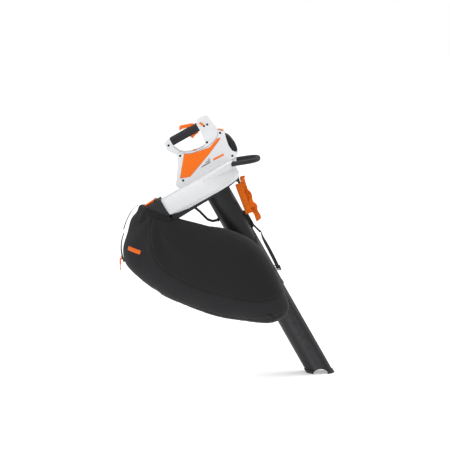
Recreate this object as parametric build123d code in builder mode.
"""A hand-held cordless leaf vacuum and shredder, with its collecting bag and shoulder strap.

The rigid machine is drawn upright: X points forward, Y to the far side, and Z runs up the fan
axis from the intake plane. keep() then leans it forward about the grip to its carrying pose,
so that the row's origin is the middle of the grip and Z is up. The bag and what hangs from it
are drawn straight in the row's frame. Millimetres throughout.
"""

import os
from math import cos, hypot, radians, sin, tan

from build123d import *

os.makedirs("parts", exist_ok=True)

# ---------------------------------------------------------------- driving dimensions
LEAN = 29.4  # the fan axis and the tubes lean this far from vertical, in degrees
GRIP_CENTRE = 268.0  # from the intake plane to the middle of the grip
FLOOR = -966.0  # height of the nozzle's feet in the row's frame
WALL = 3.0  # moulded housing wall
FIT = 0.3  # room between two pieces that stay put
PLAY = 0.05  # radial clearance on a pin or a shaft

FAN_FLOOR, FAN_ROOF = 14.0, 95.0  # parting plane of the fan housing, and its roof
SCROLL_START, SCROLL_END = 98.0, 122.0  # radius of the scroll at the tongue and at the outlet
TONGUE_ANGLE = 27.0  # how far behind the -X axis the scroll begins, in degrees
DUCT_END = -212.0  # the outlet duct runs back along -X to here
DUCT_Y = -SCROLL_START * sin(radians(TONGUE_ANGLE)) - 1  # far wall of the duct, by the tongue
DUCT_MIDDLE = (DUCT_Y - SCROLL_END) / 2
BASE_INSET = 10.0  # the housing narrows by this much down to the base plate
DECK_X, DECK_RADIUS = 6.0, 127.0  # round deck that carries the motor casing

CASING_HALF, CASING_SLOPE = 62.0, 28.0 / 120.0  # half width at the deck, loss per mm of height

MOTOR_RADIUS, MOTOR_TOP = 34.0, 142.0
BEARING_RADIUS, BEARING_HEIGHT = 11.0, 7.0
LOWER_BEARING, UPPER_BEARING = 93.0, 137.5
SHAFT_RADIUS = 4.0
IMPELLER_RADIUS, VANE_BOTTOM, IMPELLER_TOP = 85.0, 30.0, 82.0
BLADE_LEVEL, BLADE_REACH = -8.0, 41.0

TUBE_RADIUS, TUBE_WALL = 50.6, 2.6  # upper suction tube
TUBE_JOINT, TUBE_OVERLAP = -449.0, 80.0
TUBE_BORE = TUBE_RADIUS - TUBE_WALL
LOWER_RADIUS = TUBE_BORE - 0.25
LOWER_BORE = LOWER_RADIUS - TUBE_WALL
SPIGOT, SPIGOT_WALL = TUBE_BORE - FIT, 5.0  # the base plate's spigot inside the upper tube

GRIP_BACK, GRIP_FRONT = -61.0, 61.0
GRIP_HEIGHT, GRIP_WIDTH = 34.0, 40.0
BAR_BOTTOM, BAR_TOP, BAR_HALF = 255.0, 281.0, 15.0  # the handle's bar inside the grip

BATTERY_BACK, BATTERY_STEP, BATTERY_FRONT = 44.0, 112.0, 153.0
BATTERY_BOTTOM, BATTERY_TOP, BATTERY_HALF = 112.0, 191.0, 32.0

DECK_SCREWS = [(0, 96), (70, 66), (97, -20), (52, -92), (-50, -100)]
BOW_PIVOT = (-111.0, -3.0)  # X and Z of the pin of the bow behind the tube

FLOOR_X = -FLOOR * tan(radians(LEAN))  # where the fan axis meets the floor, in the row's frame
BOW_PIN_RADIUS = 2.5

# casing and handle, as outlines seen from the side
FLOOR_LINE = [(40, 189), (3, 193), (-28, 203), (-50, 219)]  # under the hand
BLOCK_SEAM = [(123, 220), (109, 201), (85, 192), (62, 187.5), (40, 189)]  # under the block
CASING_BACK = [(-66, 213), (-76, 190), (-100, 152), (-129, 112), (-121, FAN_ROOF)]
CASING_FRONT = [(134, FAN_ROOF), (150, 103), (134, 123), (132, 145), (135, 166), (141, 192),
                (142, 204), (123, 220)]
PANEL = [(-38, 205), (-20, 193), (24, 184), (64, 178), (108, 194), (122, 189), (46, 155),
         (-61, 115), (-100, 128)]
CASING_SCREWS = [(-56, 205), (-92.5, 115.5), (126, 106), (127, 207)]
FRAME_SCREWS = [(98, 260), (63, 200), (-77, 262)]
TRIGGER_PIN, LEVER_PIN, PIN_RADIUS = (53, 262), (50, 277), 2.0
BUTTON_PLANE = Plane(origin=(3, 0, 193), x_dir=(0, 1, 0), z_dir=(0.17, 0, 0.985))
BUTTON_RADIUS, BUTTON_DEPTH, BUTTON_PROUD = 7.5, 8.0, 3.5
SLIDER_DIRECTION, SLIDER_TRAVEL = (0.394, -0.919), 7.0  # down the block's side

# connector between the outlet duct and the bag
CONNECTOR_BACK, CONNECTOR_TOP, CONNECTOR_BOTTOM = -273.0, 102.0, 17.0
CONNECTOR_FRONT = -203.0
CONNECTOR_HALF = 45.5
RELEASE_PIN = (-224.0, 107.0)
RELEASE_PIN_RADIUS = 1.5

# bag and its zip, in the row's frame
BAG_TURN = 8.0  # the bag's middle plane turns towards the front as it runs forward
BAG_MIDDLE_Y = -102.0  # where that plane crosses X = 0
BAG_CENTRE = (90.0, -530.0)
BAG_OUTLINE = [(-172, -268), (-100, -312), (-30, -342), (90, -350), (220, -378), (306, -449),
               (384, -589), (423, -685), (392, -725), (280, -737), (100, -705), (-60, -649),
               (-170, -582), (-229, -523), (-251, -445), (-225, -358)]
ZIP_CENTRE, ZIP_RADIUS = (-105.0, -445.0), 150.0  # the bag's rear end is round about here
ZIP_TOP, ZIP_BOTTOM, ZIP_REST = 158.0, 203.0, 196.0  # degrees from +X, as seen from the side
BAG_PLANE = Plane(origin=(0, BAG_MIDDLE_Y, 0),
                  x_dir=(cos(radians(BAG_TURN)), -sin(radians(BAG_TURN)), 0),
                  z_dir=(-sin(radians(BAG_TURN)), -cos(radians(BAG_TURN)), 0))
BAG_FORM = [(92, 0.34), (78, 0.68), (48, 0.92), (0, 1.0), (-42, 0.93), (-66, 0.7), (-76, 0.36)]
ZIP_PULL = (ZIP_CENTRE[0] + (ZIP_RADIUS + 10.5) * cos(radians(ZIP_REST)),
            ZIP_CENTRE[1] + (ZIP_RADIUS + 10.5) * sin(radians(ZIP_REST)))

UP_X, UP_Z = sin(radians(LEAN)), cos(radians(LEAN))  # true vertical, in the upright frame
LEVEL = Plane(origin=(0, 0, GRIP_CENTRE), x_dir=(UP_Z, 0, -UP_X), z_dir=(UP_X, 0, UP_Z))
CARRY = Location((0, 0, 0), (0, -LEAN, 0)) * Location((0, 0, -GRIP_CENTRE))


# ---------------------------------------------------------------- helpers
def keep(builder, label, leaned=True):
    """Labels a finished piece, leans it with the machine and writes it."""
    piece = CARRY * builder.part if leaned else builder.part
    piece.label = label
    export_step(piece, f"parts/{label}.step")


def side_prism(points, low_y, high_y, rounding=0):
    """A straight-sided outline in the XZ plane, from low_y to high_y."""
    with BuildPart() as prism:
        with BuildSketch(Plane.XZ.offset(-high_y)) as outline:
            Polygon(*points, align=None)
            if rounding:
                fillet(outline.vertices(), rounding)
        extrude(amount=high_y - low_y)
    return prism.part


def rod(start, end, radius):
    """A round bar from one point to another."""
    axis = Vector(*end) - Vector(*start)
    with BuildPart() as bar:
        with BuildSketch(Plane(origin=start, z_dir=axis)):
            Circle(radius)
        extrude(amount=axis.length)
    return bar.part


def ring(low, high, outer, inner, centre=(0, 0)):
    """A tube about a line parallel to the fan axis."""
    with BuildPart() as tube:
        with BuildSketch(Plane((centre[0], centre[1], low))):
            Circle(outer)
            if inner:
                Circle(inner, mode=Mode.SUBTRACT)
        extrude(amount=high - low)
    return tube.part


def block(low, high):
    """A box from its lowest corner to its highest."""
    size = [top - bottom for bottom, top in zip(low, high)]
    centre = [(top + bottom) / 2 for bottom, top in zip(low, high)]
    with BuildPart() as box:
        with Locations(tuple(centre)):
            Box(*size)
    return box.part


def unit(x, z):
    length = hypot(x, z)
    return (x / length, z / length)


# ---------------------------------------------------------------- fan housing
def scroll_point(turn, inset):
    """A point of the scroll after a turn, in degrees, clockwise from the -X axis."""
    radius = SCROLL_START + (SCROLL_END - SCROLL_START) * max(turn, 0) / 270 - inset
    angle = radians(180 - turn)
    return (radius * cos(angle), radius * sin(angle))


def scroll_loft(levels, end_x=DUCT_END):
    """The scroll with its outlet duct, as a stack of (height, inset) outlines."""
    turns = [-TONGUE_ANGLE + step * (270 + TONGUE_ANGLE) / 11 for step in range(12)]
    with BuildPart() as stack:
        for height, inset in levels:
            start = scroll_point(turns[0], inset)
            finish = scroll_point(turns[-1], inset)
            with BuildSketch(Plane.XY.offset(height)):
                with BuildLine():
                    Spline([scroll_point(turn, inset) for turn in turns])
                    Polyline(finish, (end_x, finish[1]), (end_x, DUCT_Y - inset),
                             (start[0] - 1, DUCT_Y - inset), start)
                make_face()
        loft(ruled=True)
    return stack.part


def loop_handle():
    with BuildPart() as bar:
        add(handle_bar(9.5))
    keep(bar, "loop_handle")


def duct_underside(points):
    return side_prism(points, -170, 170)


def handle_bar(radius):
    """The loop handle's bar, with its two arms ending in the deck."""
    along = unit(205 - 116, 42 - 75.5)
    plane = Plane(origin=(106, 0, 79), x_dir=(along[0], 0, along[1]), z_dir=(-along[1], 0, along[0]))
    reach, half_span, corner = 107.0, 62.0, 46.0
    with BuildPart() as bar:
        with BuildLine(plane) as path:
            FilletPolyline((0, -half_span), (reach, -half_span), (reach, half_span),
                           (0, half_span), radius=corner)
        with BuildSketch(Plane(origin=path.line @ 0, z_dir=path.line % 0)):
            Ellipse(radius, radius * 1.08)
        sweep()
    return bar.part


def fan_housing():
    """White scroll casing over the fan, with a round deck that carries the motor casing."""
    rim = 8.0
    with BuildPart() as housing:
        add(scroll_loft([(FAN_FLOOR, BASE_INSET), (30, 0), (FAN_ROOF - rim, 0), (FAN_ROOF, rim)]))
        with BuildSketch(Plane.XZ):
            with Locations((DECK_X, 0)):
                Polygon((0, 36), (DECK_RADIUS - 28, 36), (DECK_RADIUS, 86), (DECK_RADIUS, 91),
                        (DECK_RADIUS - 4, FAN_ROOF), (0, FAN_ROOF), align=None)
        revolve(axis=Axis((DECK_X, 0, 0), (0, 0, 1)))
        add(duct_underside([(-260, 0), (-260, 40), (-199.5, 29), (-163, 20), (-120, FAN_FLOOR),
                            (-120, 0)]), mode=Mode.SUBTRACT)
        add(duct_underside([(-260, 0), (-260, 120), (-214, 120), (-196, 0)]), mode=Mode.SUBTRACT)
        add(scroll_loft([(FAN_FLOOR - 1, BASE_INSET + WALL), (30, WALL),
                         (FAN_ROOF - rim, WALL), (FAN_ROOF - WALL, rim)], -260),
            mode=Mode.SUBTRACT)
        add(ring(80, 100, MOTOR_RADIUS - 8, 0), mode=Mode.SUBTRACT)
        add(handle_bar(9.5 + FIT / 2), mode=Mode.SUBTRACT)
        for x, y in DECK_SCREWS:
            add(ring(0, FAN_FLOOR + 16, 2, 0, (x, y)), mode=Mode.SUBTRACT)
    keep(housing, "fan_housing")


def base_plate():
    """Black floor of the fan housing, with the tube's spigot and the lugs for the bow."""
    slope = [(120, 11.5), (-194, -2), (-200, 0), (-240, -40), (120, -40)]
    above = [(120, FAN_FLOOR), (-120, FAN_FLOOR), (-163, 20), (-199.5, 29), (-240, 60), (120, 60)]
    with BuildPart() as plate:
        add(scroll_loft([(-12, BASE_INSET), (40, BASE_INSET)], -199))
        add(duct_underside(slope), mode=Mode.SUBTRACT)
        add(duct_underside(above), mode=Mode.SUBTRACT)
        add(ring(-30, FAN_FLOOR, SPIGOT, SPIGOT - SPIGOT_WALL))
        add(ring(-31, FAN_FLOOR + 1, SPIGOT - SPIGOT_WALL, 0), mode=Mode.SUBTRACT)
        add(side_prism([(84, 14), (102, 14), (100, 0), (94, -4), (86, 0)], -4, 4))
        add(rod((93.5, -9, 3), (93.5, 9, 3), 3.2), mode=Mode.SUBTRACT)
        add(side_prism([(-124, 12), (-78, FAN_FLOOR), (-78, 4), (-124, 3)], -20, 20))
        for side in (-1, 1):
            lug = sorted((side * 12.4, side * 18))
            add(side_prism([(-120, 5), (-102, 5), (-106, -8), (-116, -8)], *lug))
        add(rod((BOW_PIVOT[0], -30, BOW_PIVOT[1]), (BOW_PIVOT[0], 30, BOW_PIVOT[1]), BOW_PIN_RADIUS),
            mode=Mode.SUBTRACT)
        for x, y in DECK_SCREWS:
            add(ring(-12, 5, 4.6, 0, (x, y)), mode=Mode.SUBTRACT)
            add(ring(-12, FAN_FLOOR + 1, 2, 0, (x, y)), mode=Mode.SUBTRACT)
    keep(plate, "base_plate")


def deck_screws():
    with BuildPart() as screws:
        for x, y in DECK_SCREWS:
            add(ring(2.5, 5, 4.2, 0, (x, y)))
            add(ring(5, FAN_FLOOR + 12, 2, 0, (x, y)))
    keep(screws, "deck_screws")


# ---------------------------------------------------------------- casing and handle
def casing_face(height):
    """Half width of the tapered casing at a height."""
    return CASING_HALF - CASING_SLOPE * (height - FAN_ROOF)


def frame_face(height):
    """Half width of the handle's frame, level with the casing at the seam."""
    if height < 220:
        return casing_face(height)
    return max(22.5, casing_face(220) - 0.36 * (height - 220))


def in_both_sides(low_x, high_x, heights, inner, outer):
    """A solid on each side of the machine, between two widths given for each height."""
    with BuildPart() as pair:
        with BuildSketch(Plane.YZ.offset(low_x)):
            for side in (-1, 1):
                near = [(side * inner(height), height) for height in heights]
                far = [(side * outer(height), height) for height in reversed(heights)]
                Polygon(*near, *far, align=None)
        extrude(amount=high_x - low_x)
    return pair.part


def casing_solid():
    """The casing's outline, tapered in its width."""
    with BuildPart() as solid:
        with BuildSketch(Plane.XZ.offset(-80)):
            with BuildLine():
                Polyline(FLOOR_LINE[-1], *CASING_BACK, *CASING_FRONT)
                Spline(BLOCK_SEAM)
                Spline(FLOOR_LINE)
            make_face()
        extrude(amount=160)
        add(in_both_sides(-160, 200, (90, 225), lambda height: -1, casing_face),
            mode=Mode.INTERSECT)
    return solid.part


def motor_room():
    """The hollow of the casing behind the battery's bay."""
    with BuildPart() as room:
        with BuildSketch(Plane.XZ.offset(-80)):
            Polygon((38, FAN_ROOF + WALL), (-117, FAN_ROOF + WALL), (-124, 111), (-96, 151),
                    (-72, 189), (-62, 208), (-50, 213), (-30, 198), (2, 188), (38, 184),
                    align=None)
        extrude(amount=160)
        add(in_both_sides(-160, 200, (90, 225), lambda height: -1,
                          lambda height: casing_face(height) - WALL), mode=Mode.INTERSECT)
    return room.part


def frame_solid():
    """The handle's frame: a rear foot, the bar inside the grip and the switch block."""
    with BuildPart() as solid:
        with BuildSketch(Plane.XZ.offset(-60)):
            with BuildLine():
                Polyline(FLOOR_LINE[-1], (-66, 213), (-80, 231), (-91, 247), (-88, 277), (-66, 281),
                         (66, 281), (68, 290), (76, 297), (113, 291), (123, 220))
                Spline(BLOCK_SEAM)
                Spline((40, 189), (52, 196), (57, 210))
                Polyline((57, 210), (61, 246), (61, BAR_BOTTOM), (-61, BAR_BOTTOM), (-62, 246),
                         FLOOR_LINE[-1])
            make_face()
        extrude(amount=120)
        add(in_both_sides(-160, 200, (180, 220, 251, 300), lambda height: -1, frame_face),
            mode=Mode.INTERSECT)
    return solid.part


def side_screws(points, face, head, shank, sink):
    """Screw heads sunk below both side faces, with their shanks reaching the middle."""
    with BuildPart() as screws:
        for x, z in points:
            for side in (-1, 1):
                top, seat = side * (face(z) + sink), side * (face(z) - 5)
                add(rod((x, top, z), (x, seat, z), head))
                add(rod((x, seat, z), (x, side * 6, z), shank))
    return screws.part


def button(radius, low, high):
    with BuildPart() as cap:
        with BuildSketch(BUTTON_PLANE.offset(low)):
            Circle(radius)
        extrude(amount=high - low)
    return cap.part


def slider(length, width, low_y, high_y):
    """A bar lying along the slider's direction on the near side of the switch block."""
    plane = Plane(origin=(75.5, high_y, 281), x_dir=(SLIDER_DIRECTION[0], 0, SLIDER_DIRECTION[1]),
                  z_dir=(0, -1, 0))
    with BuildPart() as bar:
        with BuildSketch(plane) as outline:
            with Locations((length / 2, 0)):
                Rectangle(length, width)
            fillet(outline.vertices(), 1.5)
        extrude(amount=high_y - low_y)
    return bar.part


def casing():
    """White clamshell over the motor, with the battery's bay in its front."""
    ease = 0.5
    with BuildPart() as shell:
        add(casing_solid())
        add(motor_room(), mode=Mode.SUBTRACT)
        add(block((BATTERY_BACK - ease, -BATTERY_HALF - ease, BATTERY_BOTTOM - ease),
                  (BATTERY_FRONT, BATTERY_HALF + ease, BATTERY_TOP - 9 + ease)),
            mode=Mode.SUBTRACT)
        add(block((BATTERY_STEP - ease, -BATTERY_HALF - ease, BATTERY_BOTTOM - ease),
                  (BATTERY_FRONT + 9, BATTERY_HALF + ease, BATTERY_TOP + ease)), mode=Mode.SUBTRACT)
        add(block((30, -18, 140), (BATTERY_BACK, 18, 164)), mode=Mode.SUBTRACT)
        add(block((123, -7, BATTERY_TOP - 1), (138, 7, 230)), mode=Mode.SUBTRACT)
        add(ring(90, MOTOR_TOP + 4, MOTOR_RADIUS + FIT, 0), mode=Mode.SUBTRACT)
        add(button(BUTTON_RADIUS + 4, -BUTTON_DEPTH - 5, -2))
        add(button(BUTTON_RADIUS + FIT, -BUTTON_DEPTH - 3.5, 12), mode=Mode.SUBTRACT)
        add(panel_solid(-1.2, 20), mode=Mode.SUBTRACT)
        for rib in range(5):
            add(side_prism([(-66 + 13 * rib, 158), (-60 + 13 * rib, 158), (-52 + 13 * rib, 172),
                            (-58 + 13 * rib, 172)], 20, 80), mode=Mode.SUBTRACT)
        add(side_screws(CASING_SCREWS, casing_face, 4.8, 2, 8), mode=Mode.SUBTRACT)
    return shell.part


def panel_solid(inner, outer, shrink=0):
    """The coloured side panels, as plates along the casing's tapered faces."""
    with BuildPart() as panels:
        with BuildSketch(Plane.XZ.offset(-80)) as outline:
            Polygon(*PANEL, align=None)
            fillet(outline.vertices(), 2.5)
            if shrink:
                offset(amount=-shrink)
        extrude(amount=160)
        add(in_both_sides(-160, 200, (90, 225), lambda height: casing_face(height) + inner,
                          lambda height: casing_face(height) + outer), mode=Mode.INTERSECT)
    return panels.part


def handle_frame():
    """White clamshell frame, open under the hand, with slots for the two levers."""
    with BuildPart() as frame:
        add(frame_solid())
        for side in (-1, 1):
            low, high = sorted((side * BAR_HALF, side * 40))
            add(block((GRIP_BACK, low, 250), (GRIP_FRONT, high, 290)), mode=Mode.SUBTRACT)
        add(side_prism([(66, 198), (104, 204), (112, 222), (106, 286), (79, 290), (72, 280),
                        (66, 245)], -17, 17), mode=Mode.SUBTRACT)
        add(block((8, -7, 240), (67, 7, 271)), mode=Mode.SUBTRACT)
        add(block((-16, -9, 271), (58, 9, 292)), mode=Mode.SUBTRACT)
        add(block((-40, -3, 262), (9, 3, 267)), mode=Mode.SUBTRACT)
        for x, z in (TRIGGER_PIN, LEVER_PIN):
            add(rod((x, -40, z), (x, 40, z), PIN_RADIUS), mode=Mode.SUBTRACT)
        add(slider(19 + SLIDER_TRAVEL + FIT, 7.6, -40, -17), mode=Mode.SUBTRACT)
        add(side_screws(FRAME_SCREWS, frame_face, 4.8, 2, 8), mode=Mode.SUBTRACT)
    return frame.part


def clamshells(shell, name):
    """The near and far halves of a shell, parted on the middle plane."""
    for label, side in (("near", -1), ("far", 1)):
        low, high = sorted((side * FIT / 2, side * 200))
        with BuildPart() as part:
            add(shell)
            add(block((-400, low, -50), (300, high, 400)), mode=Mode.INTERSECT)
        keep(part, f"{name}_{label}")


def side_trim():
    """Coloured panels and the dark stripes beside them, on both sides of the casing."""
    for label, side in (("near", -1), ("far", 1)):
        low, high = sorted((0, side * 200))
        with BuildPart() as panel:
            add(panel_solid(-1.2, 0.8, FIT))
            add(block((-400, low, -50), (300, high, 400)), mode=Mode.INTERSECT)
        keep(panel, f"side_panel_{label}")
    with BuildPart() as stripes:
        with BuildSketch(Plane.XZ.offset(-80)):
            Polygon((-6, 125), (2, 128), (41, 128), (33, 125), align=None)
            Polygon((17, 132), (25, 135), (43, 135), (35, 132), align=None)
            Polygon((31, 139), (37, 141), (44, 141), (38, 139), align=None)
        extrude(amount=160)
        add(in_both_sides(-160, 200, (90, 225), casing_face,
                          lambda height: casing_face(height) + 0.6), mode=Mode.INTERSECT)
    keep(stripes, "side_stripes")


def casing_screws():
    with BuildPart() as screws:
        add(side_screws(CASING_SCREWS, casing_face, 4, 2, -1.5))
        add(side_screws(FRAME_SCREWS, frame_face, 4, 2, -1.5))
    keep(screws, "casing_screws")


def grip_sleeve():
    """Dark rubber sleeve round the handle's bar, open for the trigger and the lever."""
    with BuildPart() as sleeve:
        with BuildSketch(Plane.YZ.offset(GRIP_BACK)):
            with Locations((0, GRIP_CENTRE)):
                RectangleRounded(GRIP_WIDTH, GRIP_HEIGHT, 13)
        extrude(amount=GRIP_FRONT - GRIP_BACK)
        for end in (sleeve.faces().sort_by(Axis.X)[0], sleeve.faces().sort_by(Axis.X)[-1]):
            fillet(end.edges(), 2.5)
        add(block((GRIP_BACK - 1, -BAR_HALF, BAR_BOTTOM), (GRIP_FRONT + 1, BAR_HALF, BAR_TOP)),
            mode=Mode.SUBTRACT)
        add(block((8, -8, 240), (62, 8, 260)), mode=Mode.SUBTRACT)
        add(block((-17, -10, 275), (62, 10, 300)), mode=Mode.SUBTRACT)
    keep(sleeve, "grip_sleeve")


def levers():
    """The trigger under the grip, the lock-out lever over it, and their pins."""
    with BuildPart() as trigger:
        with BuildSketch(Plane.XZ.offset(-6)):
            with BuildLine():
                Polyline((50, 245.5), (58, 258), (58, 266), (48, 266), (12, 261), (14, 250),
                         (20, 236.5))
                ThreePointArc((20, 236.5), (34, 243.5), (50, 245.5))
            make_face()
        extrude(amount=12)
        add(rod((TRIGGER_PIN[0], -9, TRIGGER_PIN[1]), (TRIGGER_PIN[0], 9, TRIGGER_PIN[1]),
                PIN_RADIUS + PLAY), mode=Mode.SUBTRACT)
    keep(trigger, "trigger")
    with BuildPart() as lever:
        with BuildSketch(Plane.XZ.offset(-8)) as outline:
            Polygon((-12, 290), (-4, 306), (3, 306.5), (46, 292), (54, 284), (54, 273), (46, 273),
                    (40, 281), (2, 292), align=None)
            fillet(outline.vertices().sort_by(Axis.X)[:3], 1.5)
        extrude(amount=16)
        add(rod((LEVER_PIN[0], -9, LEVER_PIN[1]), (LEVER_PIN[0], 9, LEVER_PIN[1]),
                PIN_RADIUS + PLAY), mode=Mode.SUBTRACT)
    keep(lever, "lockout_lever")
    for label, (x, z) in (("trigger_pin", TRIGGER_PIN), ("lockout_pin", LEVER_PIN)):
        with BuildPart() as pin:
            add(rod((x, -BAR_HALF, z), (x, BAR_HALF, z), PIN_RADIUS))
        keep(pin, label)


def controls():
    """The speed slider on the block's side, the push button in the floor, and the latch."""
    with BuildPart() as knob:
        add(slider(19, 7, -frame_face(275) - 2.6, -18))
    keep(knob, "speed_slider")
    with BuildPart() as cap:
        add(button(BUTTON_RADIUS, -BUTTON_DEPTH, BUTTON_PROUD))
        fillet(cap.faces().sort_by(Axis.Z)[-1].edges(), 1.2)
    keep(cap, "push_button")
    shoulder = unit(19, -16)
    with BuildPart() as latch:
        start = Vector(123.8, 0, 219.9) + Vector(-shoulder[1], 0, shoulder[0]) * 0.6
        plane = Plane(origin=start, x_dir=(0, 1, 0), z_dir=(-shoulder[1], 0, shoulder[0]))
        with BuildSketch(plane) as plate:
            with Locations((0, -11.5)):
                Rectangle(26, 21)
            fillet(plate.vertices(), 3)
        extrude(amount=3.2)
        add(block((125, -5, BATTERY_TOP + 0.6), (135.5, 5, 212)))
    keep(latch, "battery_latch")


# ---------------------------------------------------------------- drive
def springs():
    """Return springs of the trigger, the lock-out lever and the push button."""
    button_seat = BUTTON_PLANE.offset(-BUTTON_DEPTH - 3.4)
    places = {
        "trigger_spring": (Plane(origin=(16, 0, 262.2), z_dir=(0, 0, 1)), 3.2, 7.6),
        "lockout_spring": (Plane(origin=(8, 0, 271.4), z_dir=(0, 0, 1)), 4, 17),
        "button_spring": (button_seat, 4.5, 3.2),
    }
    wire = 0.45
    for label, (seat, radius, height) in places.items():
        turns = 4
        with BuildPart() as spring:
            for turn in range(turns):
                with BuildSketch(seat.offset(wire + turn * (height - 2 * wire) / (turns - 1) - wire)):
                    Circle(radius)
                    Circle(radius - 2 * wire, mode=Mode.SUBTRACT)
                extrude(amount=2 * wire)
        keep(spring, label)


def motor():
    """Brushless motor on the deck: can, stator, rotor, two bearings and the drive shaft."""
    with BuildPart() as can:
        add(ring(FAN_ROOF, MOTOR_TOP, MOTOR_RADIUS, 0))
        fillet(can.faces().sort_by(Axis.Z)[-1].edges(), 3)
        add(ring(FAN_ROOF + 3, MOTOR_TOP - 3, MOTOR_RADIUS - 2, 0), mode=Mode.SUBTRACT)
        add(ring(90, 150, BEARING_RADIUS, 0), mode=Mode.SUBTRACT)
        with PolarLocations(24, 6):
            Hole(3.5)
    keep(can, "motor_can")
    with BuildPart() as stator:
        with BuildSketch(Plane.XY.offset(104)):
            Circle(MOTOR_RADIUS - 2)
            Circle(21, mode=Mode.SUBTRACT)
            with PolarLocations(26, 9):
                RectangleRounded(6, 5, 1, mode=Mode.SUBTRACT)
        extrude(amount=30)
    keep(stator, "motor_stator")
    with BuildPart() as magnets:
        add(ring(103, 135, 20.4, SHAFT_RADIUS))
    keep(magnets, "motor_rotor")
    for label, level in (("lower_bearing", LOWER_BEARING), ("upper_bearing", UPPER_BEARING)):
        with BuildPart() as bearing:
            add(ring(level, level + BEARING_HEIGHT, BEARING_RADIUS, SHAFT_RADIUS + PLAY))
            add(ring(level - 1, level + 1, 9, 6.5), mode=Mode.SUBTRACT)
            add(ring(level + BEARING_HEIGHT - 1, level + 8, 9, 6.5), mode=Mode.SUBTRACT)
        keep(bearing, label)
    with BuildPart() as shaft:
        add(ring(BLADE_LEVEL - 12, MOTOR_TOP + 4, SHAFT_RADIUS, 0))
        chamfer(shaft.edges(), 0.6)
    keep(shaft, "drive_shaft")


def fan():
    """The impeller, and the shredding blade and nut under it, on the drive shaft."""
    with BuildPart() as impeller:
        with BuildSketch(Plane.XZ):
            Polygon((SHAFT_RADIUS, VANE_BOTTOM), (14, VANE_BOTTOM), (18, 60),
                    (40, IMPELLER_TOP - 5), (IMPELLER_RADIUS, IMPELLER_TOP - 3),
                    (IMPELLER_RADIUS, IMPELLER_TOP), (SHAFT_RADIUS, IMPELLER_TOP), align=None)
        revolve(axis=Axis.Z)
        vanes = 8
        for vane in range(vanes):
            turn = Rot(0, 0, 360 / vanes * vane)
            with BuildPart(mode=Mode.PRIVATE) as blade:
                with BuildSketch(Plane.XY.offset(VANE_BOTTOM)):
                    with BuildLine():
                        ThreePointArc((12, 0), (50, -9), (IMPELLER_RADIUS - 1, -30))
                        offset(amount=1.3)
                    make_face()
                extrude(amount=IMPELLER_TOP - 3 - VANE_BOTTOM)
            add(turn * blade.part)
        add(ring(VANE_BOTTOM - 1, IMPELLER_TOP + 1, SHAFT_RADIUS, 0), mode=Mode.SUBTRACT)
    keep(impeller, "impeller")
    with BuildPart() as blade:
        with BuildSketch(Plane.XY.offset(BLADE_LEVEL)):
            with PolarLocations(0, 2):
                Polygon((0, -9), (BLADE_REACH - 6, -9), (BLADE_REACH - 1, -3), (BLADE_REACH - 4, 9),
                        (0, 9), align=None)
            Circle(SHAFT_RADIUS, mode=Mode.SUBTRACT)
        extrude(amount=3)
    keep(blade, "shredder_blade")
    with BuildPart() as spacer:
        add(ring(BLADE_LEVEL + 3, VANE_BOTTOM, 9, SHAFT_RADIUS))
    keep(spacer, "blade_spacer")
    with BuildPart() as nut:
        with BuildSketch(Plane.XY.offset(BLADE_LEVEL - 7)):
            RegularPolygon(7.5, 6)
            Circle(SHAFT_RADIUS, mode=Mode.SUBTRACT)
        extrude(amount=6)
        add(ring(BLADE_LEVEL - 1, BLADE_LEVEL, 9, SHAFT_RADIUS))
    keep(nut, "blade_nut")


def electrics():
    """The battery pack, its contacts, the controller, the switch and the wiring."""
    with BuildPart() as pack:
        with BuildSketch(Plane.XZ.offset(-BATTERY_HALF)):
            with BuildLine():
                Polyline((BATTERY_FRONT - 4, BATTERY_TOP - 10), (141, BATTERY_TOP),
                         (BATTERY_STEP, BATTERY_TOP), (BATTERY_STEP, BATTERY_TOP - 9),
                         (BATTERY_BACK, BATTERY_TOP - 9), (BATTERY_BACK, BATTERY_BOTTOM),
                         (BATTERY_FRONT, BATTERY_BOTTOM))
                ThreePointArc((BATTERY_FRONT, BATTERY_BOTTOM), (156, 145),
                              (BATTERY_FRONT - 4, BATTERY_TOP - 10))
            make_face()
        extrude(amount=2 * BATTERY_HALF)
        add(block((147, -20, 128), (170, 20, 150)), mode=Mode.SUBTRACT)
        for side in (-1, 1):
            low, high = sorted((side * 27, side * 40))
            add(block((90, low, 150), (140, high, 156)), mode=Mode.SUBTRACT)
        for slot in range(-2, 3):
            add(block((40, slot * 6 - 1, 146), (56, slot * 6 + 1, 158)), mode=Mode.SUBTRACT)
    keep(pack, "battery")
    with BuildPart() as contacts:
        add(block((38.5, -17.5, 141), (43.3, 17.5, 163)))
        for slot in range(-2, 3):
            add(block((43.3, slot * 6 - 0.4, 148), (53, slot * 6 + 0.4, 156)))
    keep(contacts, "battery_contacts")
    with BuildPart() as board:
        add(block((86, -14, 208), (88, 14, 276)))
        add(block((88, -10, 214), (96, -2, 232)))
        add(block((88, 2, 214), (96, 10, 232)))
        add(block((88, -11, 240), (92, 11, 258)))
        add(rod((88, -6, 268), (100, -6, 268), 4.5))
        add(rod((88, 6, 268), (100, 6, 268), 4.5))
    keep(board, "controller_board")
    with BuildPart() as switch:
        add(block((72, -6, 236), (83, 6, 264)))
        add(block((69.8, -2, 254), (72, 2, 257)))
    keep(switch, "trigger_switch")
    with BuildPart() as wiring:
        for side in (-1, 1):
            add(rod((37.5, side * 9, 152), (31, side * 9, 152), 1.6))
            add(rod((31, side * 9, 152.6), (31, side * 9, 143.2), 1.6))
        add(rod((80, 0, 236), (80, 0, 214), 1.6))
        add(rod((80, 0, 214), (86, 0, 214), 1.6))
    keep(wiring, "wiring")


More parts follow.
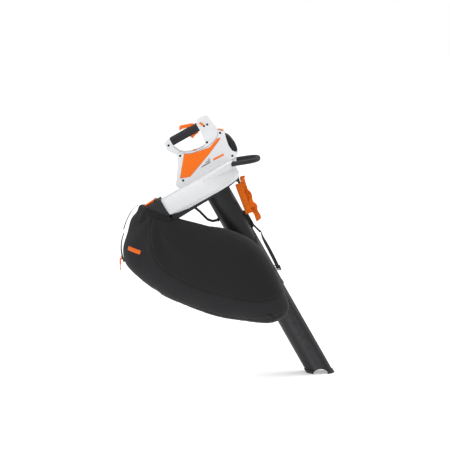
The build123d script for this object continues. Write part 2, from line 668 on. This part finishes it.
# ---------------------------------------------------------------- tubes
def tubes():
    """The upper suction tube on its spigot, and the nozzle tube that plugs into it."""
    slope = [(120, 11.2), (-194, -2.3), (-260, -40), (-260, 60), (120, 60)]
    with BuildPart() as upper:
        add(ring(TUBE_JOINT, 20, TUBE_RADIUS, TUBE_BORE))
        add(side_prism(slope, -90, 90), mode=Mode.SUBTRACT)
        add(ring(TUBE_JOINT, TUBE_JOINT + 14, TUBE_RADIUS + 1.4, TUBE_RADIUS))
    keep(upper, "upper_tube")
    lip, arch_width, arch_height = 3.0, 56.0, 21.0
    with BuildPart() as lower:
        add(ring(-1000, TUBE_JOINT + TUBE_OVERLAP, LOWER_RADIUS, 0))
        with BuildPart(mode=Mode.PRIVATE) as band:
            add(ring(-1000, -600, LOWER_RADIUS + lip, 0))
            with BuildSketch(LEVEL.offset(FLOOR)):
                with Locations((FLOOR_X, 0)):
                    Rectangle(300, 300)
            extrude(amount=13, mode=Mode.INTERSECT)
        add(band.part)
        add(ring(-1001, TUBE_JOINT + TUBE_OVERLAP + 1, LOWER_BORE, 0), mode=Mode.SUBTRACT)
        with BuildSketch(LEVEL.offset(FLOOR)):
            with Locations((FLOOR_X, 0)):
                Rectangle(500, 400)
        extrude(amount=-250, mode=Mode.SUBTRACT)
        with BuildSketch(Plane(LEVEL.location * Location((0, 150, 0), (90, 0, 0)))):
            with BuildLine():
                half_arch = arch_width / 2
                Polyline((FLOOR_X + half_arch, FLOOR + arch_height * 0.4),
                         (FLOOR_X + half_arch, FLOOR - 5), (FLOOR_X - half_arch, FLOOR - 5),
                         (FLOOR_X - half_arch, FLOOR + arch_height * 0.4))
                ThreePointArc((FLOOR_X - half_arch, FLOOR + arch_height * 0.4),
                              (FLOOR_X, FLOOR + arch_height),
                              (FLOOR_X + half_arch, FLOOR + arch_height * 0.4))
            make_face()
        extrude(amount=300, mode=Mode.SUBTRACT)
    keep(lower, "lower_tube")


# ---------------------------------------------------------------- tube fittings and connector
def tube_fittings():
    """The strap lug on the tube, and the bow that swings down from the base plate to it."""
    with BuildPart() as lug:
        with BuildSketch(Plane.XZ.offset(-5)) as outline:
            Polygon((TUBE_RADIUS - 1, -112), (58, -118), (63, -132), (63, -178), (59, -188),
                    (TUBE_RADIUS - 1, -194), align=None)
            fillet(outline.vertices().sort_by(Axis.X)[-4:], 2)
        extrude(amount=10)
        add(rod((57, -9, -178), (57, 9, -178), 3.2), mode=Mode.SUBTRACT)
        add(ring(-260, 0, TUBE_RADIUS + FIT / 3, 0), mode=Mode.SUBTRACT)
    keep(lug, "strap_lug")
    x, z = BOW_PIVOT
    with BuildPart() as bow:
        with BuildLine(Plane.XZ) as path:
            FilletPolyline((x, z - 3), (-101, -32), (-90, -74), (-76, -91), (-56, -97), radius=9)
        with BuildSketch(Plane(origin=path.line @ 0, x_dir=(0, 1, 0), z_dir=path.line % 0)):
            RectangleRounded(22, 8, 3)
        sweep()
        add(block((-57, -11, -103), (-51.4, 11, -91)))
        add(rod((x, -12, z), (x, 12, z), 6))
        add(rod((x, -30, z), (x, 30, z), BOW_PIN_RADIUS + PLAY), mode=Mode.SUBTRACT)
    keep(bow, "tube_bow")
    with BuildPart() as pin:
        add(rod((x, -19, z), (x, 19, z), BOW_PIN_RADIUS))
    keep(pin, "bow_pin")


def connector_block(grow):
    """The outside of the connector: a box that its sloping mouth cuts off at the back."""
    top, bottom = CONNECTOR_TOP + grow, CONNECTOR_BOTTOM - grow
    points = [(CONNECTOR_FRONT + grow, top), (CONNECTOR_BACK - grow, top),
              (CONNECTOR_BACK + 26 - grow, bottom), (CONNECTOR_FRONT + grow, bottom)]
    return side_prism(points, DUCT_MIDDLE - CONNECTOR_HALF - grow,
                      DUCT_MIDDLE + CONNECTOR_HALF + grow)


def connector():
    """Black connector that slips over the duct's end and carries the bag's mouth."""
    with BuildPart() as hood:
        add(connector_block(0))
        add(scroll_loft([(FAN_FLOOR, BASE_INSET - FIT), (30, -FIT), (FAN_ROOF - 8, -FIT),
                         (FAN_ROOF + FIT, 8 - FIT)]), mode=Mode.SUBTRACT)
        add(side_prism([(-210, CONNECTOR_TOP - WALL), (CONNECTOR_BACK - 5, CONNECTOR_TOP - WALL),
                        (CONNECTOR_BACK + 15, CONNECTOR_BOTTOM + WALL),
                        (-210, CONNECTOR_BOTTOM + WALL)],
                       DUCT_MIDDLE - CONNECTOR_HALF + WALL, DUCT_MIDDLE + CONNECTOR_HALF - WALL),
            mode=Mode.SUBTRACT)
        add(duct_underside([(-203.5, 20), (-203.5, -5), (-180, -5), (-180, 40), (-199, 35)]),
            mode=Mode.SUBTRACT)
        for side in (-1, 1):
            low, high = sorted((DUCT_MIDDLE + side * 14.5, DUCT_MIDDLE + side * 19))
            add(block((-230, low, CONNECTOR_TOP), (-218, high, 111)))
        x, z = RELEASE_PIN
        add(rod((x, DUCT_MIDDLE - 40, z), (x, DUCT_MIDDLE + 40, z), RELEASE_PIN_RADIUS),
            mode=Mode.SUBTRACT)
    keep(hood, "bag_connector")
    with BuildPart() as flap:
        add(side_prism([(-219, 104.6), (-219, 109.5), (-229, 110.5), (-271, 107.5), (-275, 104.8),
                        (-270, 103.4), (-232, 103)],
                       DUCT_MIDDLE - 14, DUCT_MIDDLE + 14, 1))
        add(rod((x, DUCT_MIDDLE - 40, z), (x, DUCT_MIDDLE + 40, z),
                RELEASE_PIN_RADIUS + PLAY), mode=Mode.SUBTRACT)
    keep(flap, "bag_release")
    with BuildPart() as pin:
        add(rod((x, DUCT_MIDDLE - 19, z), (x, DUCT_MIDDLE + 19, z), RELEASE_PIN_RADIUS))
    keep(pin, "release_pin")


# ---------------------------------------------------------------- bag, in the row's frame
def bag_loft(shrink):
    """The bag's form: the side outline, smaller towards both faces. shrink leaves the cloth."""
    x, z = BAG_CENTRE
    with BuildPart() as form:
        for distance, scale in BAG_FORM:
            size = scale * (1 - shrink / 170)
            with BuildSketch(BAG_PLANE.offset(distance * (1 - shrink / 88))):
                with BuildLine():
                    Spline([(x + (px - x) * size, z + (pz - z) * size) for px, pz in BAG_OUTLINE],
                           periodic=True)
                make_face()
        loft()
    return form.part


def bag_arc(low_radius, high_radius, low_angle, high_angle, half_width):
    """A curved strip round the bag's rear end."""
    x, z = ZIP_CENTRE

    def at(radius, angle):
        return (x + radius * cos(radians(angle)), z + radius * sin(radians(angle)))

    middle = (low_angle + high_angle) / 2
    with BuildPart() as strip:
        with BuildSketch(BAG_PLANE.offset(-half_width)):
            with BuildLine():
                ThreePointArc(at(low_radius, low_angle), at(low_radius, middle),
                              at(low_radius, high_angle))
                Line(at(low_radius, high_angle), at(high_radius, high_angle))
                ThreePointArc(at(high_radius, high_angle), at(high_radius, middle),
                              at(high_radius, low_angle))
                Line(at(high_radius, low_angle), at(low_radius, low_angle))
            make_face()
        extrude(amount=2 * half_width)
    return strip.part


def bag():
    """The collecting bag: a hollow cloth form, open where the connector enters."""
    cloth = 3.0
    with BuildPart() as sack:
        add(bag_loft(0))
        add(bag_loft(cloth), mode=Mode.SUBTRACT)
        add(CARRY * connector_block(0.6), mode=Mode.SUBTRACT)
        add(CARRY * side_prism([(-203, 18), (-203, 112), (-285, 112), (-262, 96), (-240, 14)],
                               DUCT_MIDDLE - 47, DUCT_MIDDLE + 47), mode=Mode.SUBTRACT)
    keep(sack, "bag_body", leaned=False)
    with BuildPart() as chain:
        add(bag_arc(ZIP_RADIUS, ZIP_RADIUS + 2, ZIP_TOP, ZIP_BOTTOM, 12))
    keep(chain, "bag_zip", leaned=False)
    with BuildPart() as runner:
        add(bag_arc(ZIP_RADIUS + 2.5, ZIP_RADIUS + 7, ZIP_REST - 2.6, ZIP_REST + 2.6, 5))
    keep(runner, "zip_slider", leaned=False)
    x, z = ZIP_PULL
    with BuildPart() as pull:
        with BuildSketch(BAG_PLANE.offset(-1.5)):
            with Locations((x, z - 13)):
                RectangleRounded(6, 28, 2.5)
            with Locations((x, z - 33)):
                RectangleRounded(3, 18, 1.4)
            with Locations((x, z - 44)):
                Circle(3.2)
        extrude(amount=3)
    keep(pull, "zip_pull", leaned=False)
    with BuildPart() as loop:
        with BuildSketch(BAG_PLANE.offset(-10)):
            with BuildLine():
                ThreePointArc((-190, -276), (-226, -322), (-245, -373))
                offset(amount=0.8)
            make_face()
        extrude(amount=20)
    keep(loop, "grab_loop", leaned=False)


# ---------------------------------------------------------------- straps, in the row's frame
def bag_strap():
    """Strap between the tube's lug and the bag's front edge: hook, webbing and buckle."""
    web_start, web_end = (302, -8.6, -397), (364, -126, -500)
    with BuildPart() as hook:
        add(rod((268.6, -8.4, -360.6), (268.6, 8.4, -360.6), 2.6))
        add(rod((300, -8.4, -392), (300, 8.4, -392), 3))
        for side in (-1, 1):
            cheek = sorted((side * 5.6, side * 8.4))
            add(side_prism([(263.7, -359.9), (267.9, -355.7), (302.1, -389.9), (297.9, -394.1)],
                           *cheek))
    keep(hook, "strap_hook", leaned=False)
    run = Vector(*web_end) - Vector(*web_start)
    with BuildPart() as web:
        with BuildSketch(Plane(origin=web_start, x_dir=(1, 0.3, 0), z_dir=run)):
            Rectangle(13, 2)
        extrude(amount=run.length)
    keep(web, "bag_strap", leaned=False)
    with BuildPart() as buckle:
        add(block((350, -140, -528), (384, -126.6, -504)))
    keep(buckle, "strap_buckle", leaned=False)


def harness():
    """The shoulder strap, hung folded from an eye under the front of the base plate."""
    with BuildPart() as hook:
        add(rod((93.5, -7.5, 3), (93.5, 7.5, 3), 2.4))
        add(block((89, -7.6, -14), (98, -4.8, 7)))
        add(block((89, 4.8, -14), (98, 7.6, 7)))
        add(block((87, -7.6, -20), (100, 7.6, -13)))
    keep(hook, "harness_hook")
    with BuildPart() as band:
        add(side_prism([(72, -4), (86, -22), (101, -22), (88, -70), (80, -132), (58, -132),
                        (62, -66)], -17, -8, 3))
    keep(band, "harness_band")
    with BuildPart() as folds:
        add(side_prism([(92, -22), (112, -20), (116, 2), (108, 14), (119, 10), (121, -16),
                        (106, -42), (113, -68), (101, -98), (108, -140), (101, -176), (78, -184),
                        (86, -140), (84, -98), (95, -62)], -7, 9, 2))
    keep(folds, "harness_folds")


fan_housing()
base_plate()
loop_handle()
deck_screws()
clamshells(casing(), "casing")
clamshells(handle_frame(), "handle_frame")
side_trim()
casing_screws()
grip_sleeve()
levers()
controls()
springs()
motor()
fan()
electrics()
tubes()
tube_fittings()
connector()
bag()
bag_strap()
harness()
